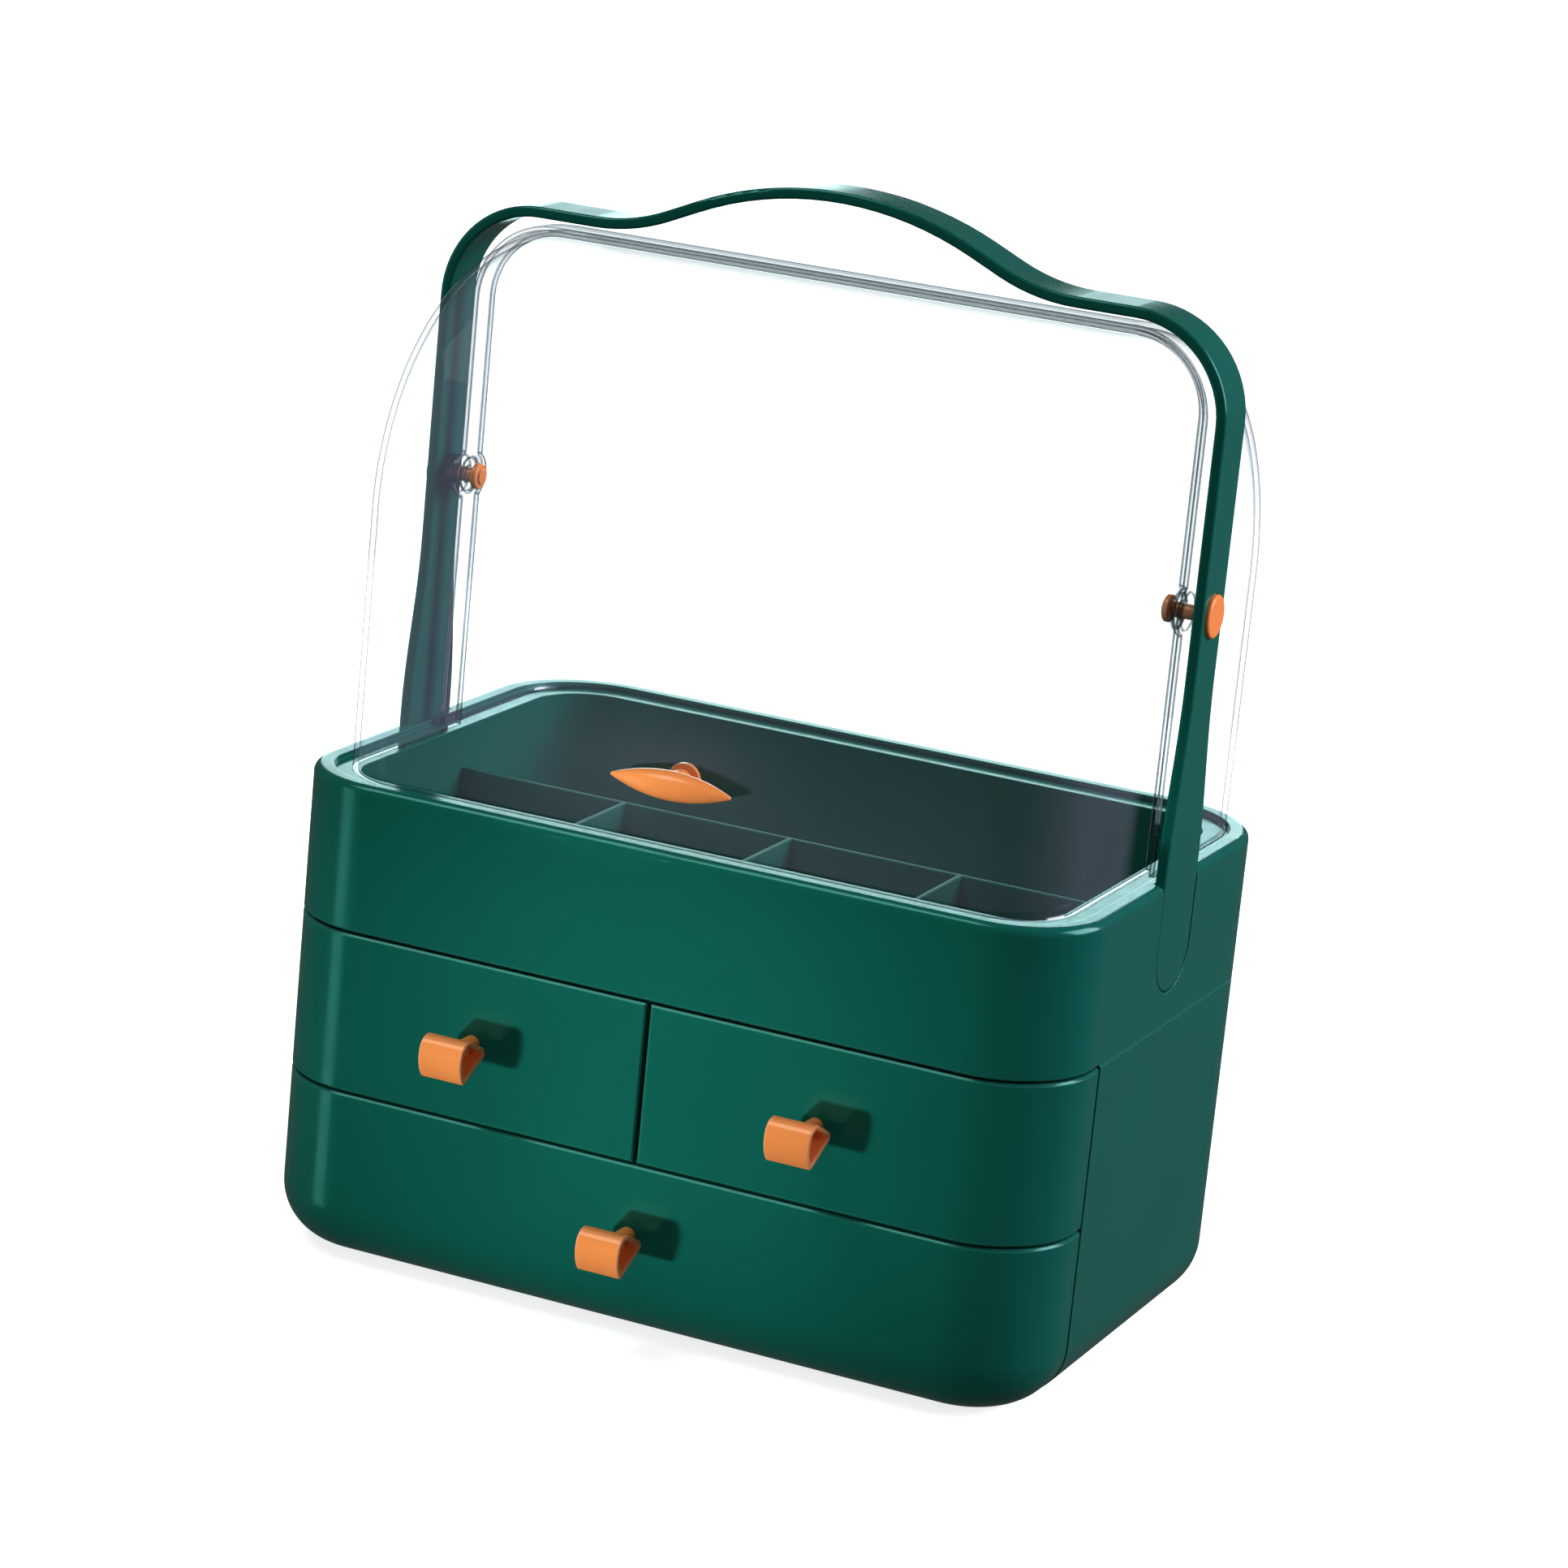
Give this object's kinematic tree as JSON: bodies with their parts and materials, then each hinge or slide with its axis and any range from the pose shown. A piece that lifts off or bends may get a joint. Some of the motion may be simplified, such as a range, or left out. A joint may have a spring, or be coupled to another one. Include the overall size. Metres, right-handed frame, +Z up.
{
  "type": "makeup storage case with handle",
  "caption": "Round-cornered drawer cabinet with an open tray on top, a clear swing-up dust cover inside a fixed clear back, and an arched carrying handle.",
  "frame": {"origin": "on the surface that the case stands on, below the middle of the body's plan", "axes": "+X to the right seen from the front, the drawers face -Y, +Z up"},
  "size_m": [0.2828, 0.2119, 0.3668],
  "materials": {
    "green_plastic": "satin-gloss moulded",
    "orange_plastic": "gloss moulded",
    "clear_plastic": "clear polished",
    "screw_steel": "zinc plated"
  },
  "bodies": {
    "case": {"cabinet_shell": "green_plastic", "mid_shelf": "green_plastic", "centre_divider": "green_plastic", "top_tray": "green_plastic", "tray_insert": "green_plastic", "handle": "green_plastic", "handle_screws": "screw_steel", "rear_cover": "clear_plastic", "left_pivot_pin": "orange_plastic", "right_pivot_pin": "orange_plastic", "left_pin_retainer": "orange_plastic", "right_pin_retainer": "orange_plastic"},
    "cover": {"front_cover": "clear_plastic", "cover_tab": "orange_plastic", "tab_clip": "orange_plastic"},
    "left_drawer": {"left_drawer_front": "green_plastic", "left_drawer_box": "green_plastic", "left_drawer_pull": "orange_plastic", "left_pull_screw": "screw_steel"},
    "right_drawer": {"right_drawer_front": "green_plastic", "right_drawer_box": "green_plastic", "right_drawer_pull": "orange_plastic", "right_pull_screw": "screw_steel"},
    "lower_drawer": {"lower_drawer_front": "green_plastic", "lower_drawer_box": "green_plastic", "lower_drawer_pull": "orange_plastic", "lower_pull_screw": "screw_steel"}
  },
  "joints": [
    {"name": "cover_hinge", "type": "hinge", "parent": "case", "child": "cover", "pos_m": [0, 0, 0.2508], "axis": [-1, 0, 0], "range_deg": [0, 90]},
    {"name": "left_drawer_slide", "type": "slide", "parent": "case", "child": "left_drawer", "axis": [0, -1, 0], "range_m": [0, 0.13]},
    {"name": "right_drawer_slide", "type": "slide", "parent": "case", "child": "right_drawer", "axis": [0, -1, 0], "range_m": [0, 0.13]},
    {"name": "lower_drawer_slide", "type": "slide", "parent": "case", "child": "lower_drawer", "axis": [0, -1, 0], "range_m": [0, 0.13]}
  ]
}
